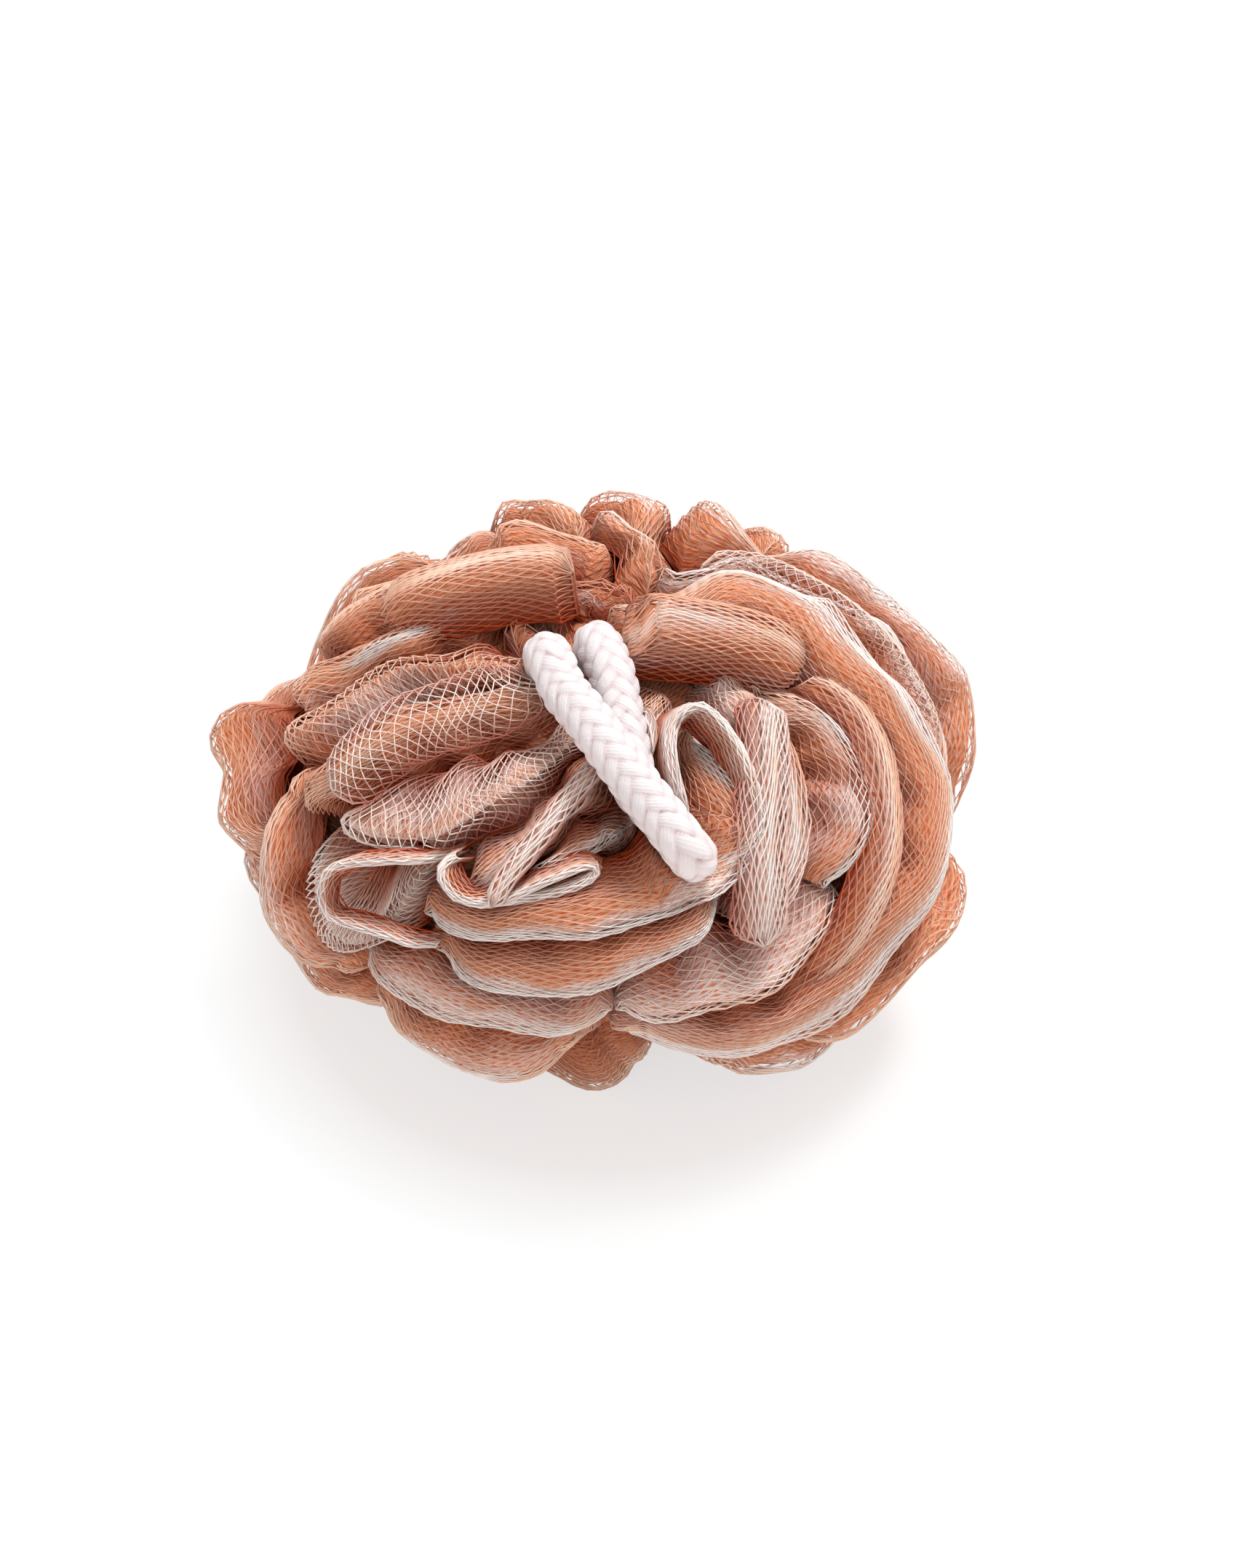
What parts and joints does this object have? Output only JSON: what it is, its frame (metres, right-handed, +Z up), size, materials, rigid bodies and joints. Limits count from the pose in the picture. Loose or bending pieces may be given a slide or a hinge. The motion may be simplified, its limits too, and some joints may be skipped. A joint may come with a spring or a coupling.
{
  "type": "bath pouf",
  "caption": "Round bath pouf of two-tone diamond netting gathered in loops round a tied waist, with a white braided cord loop to hang it by.",
  "frame": {"origin": "on the surface that the pouf rests on, straight below the tied waist", "axes": "+Z up, out of the side where the cord comes out; +X to the right and -Y towards the viewer in the reference view"},
  "size_m": [0.1189, 0.1059, 0.079],
  "materials": {
    "net": "extruded polyethylene net, orange with white bands, satin and see-through",
    "bunched_net": "the same net bunched tight at the waist",
    "cord": "soft braided cord, matt white",
    "twine": "thin twisted nylon twine"
  },
  "bodies": {
    "net_pouf": {"binding_twine": "twine", "cord_knot": "cord", "cord_root": "cord", "gathered_waist": "bunched_net", "loop_back_high_1": "net", "loop_back_high_2": "net", "loop_back_high_3": "net", "loop_back_high_4": "net", "loop_back_left": "net", "loop_back_low_1": "net", "loop_back_low_2": "net", "loop_back_low_3": "net", "loop_back_low_4": "net", "loop_back_low_5": "net", "loop_back_low_6": "net", "loop_back_middle_1": "net", "loop_back_middle_2": "net", "loop_back_middle_3": "net", "loop_back_middle_4": "net", "loop_back_middle_5": "net", "loop_back_right": "net", "loop_back_top_left": "net", "loop_back_top_right": "net", "loop_beside_cord": "net", "loop_front_bottom": "net", "loop_front_lower": "net", "loop_front_right": "net", "loop_front_rim": "net", "loop_front_under": "net", "loop_great_ring": "net", "loop_hairpin_left": "net", "loop_hairpin_right": "net", "loop_inner_right": "net", "loop_left_cone": "net", "loop_left_leaf_high": "net", "loop_left_leaf_low": "net", "loop_left_open": "net", "loop_left_outer": "net", "loop_left_outer_low": "net", "loop_left_roll": "net", "loop_left_under": "net", "loop_pit_back": "net", "loop_pit_left": "net", "loop_rest": "net", "loop_right_low": "net", "loop_right_point": "net", "loop_right_under": "net", "loop_under_ring_1": "net", "loop_under_ring_2": "net", "loop_under_ring_3": "net", "loop_under_ring_4": "net", "loop_under_ring_5": "net", "loop_under_ring_6": "net", "loop_upright": "net"},
    "hanging_loop": {"cord_loop": "cord"}
  },
  "joints": [
    {"name": "loop_swing", "type": "hinge", "parent": "net_pouf", "child": "hanging_loop", "pos_m": [-0.0038, -0.0097, 0.071], "axis": [-0.9267, -0.3757, 0], "range_deg": [0, 105]}
  ]
}
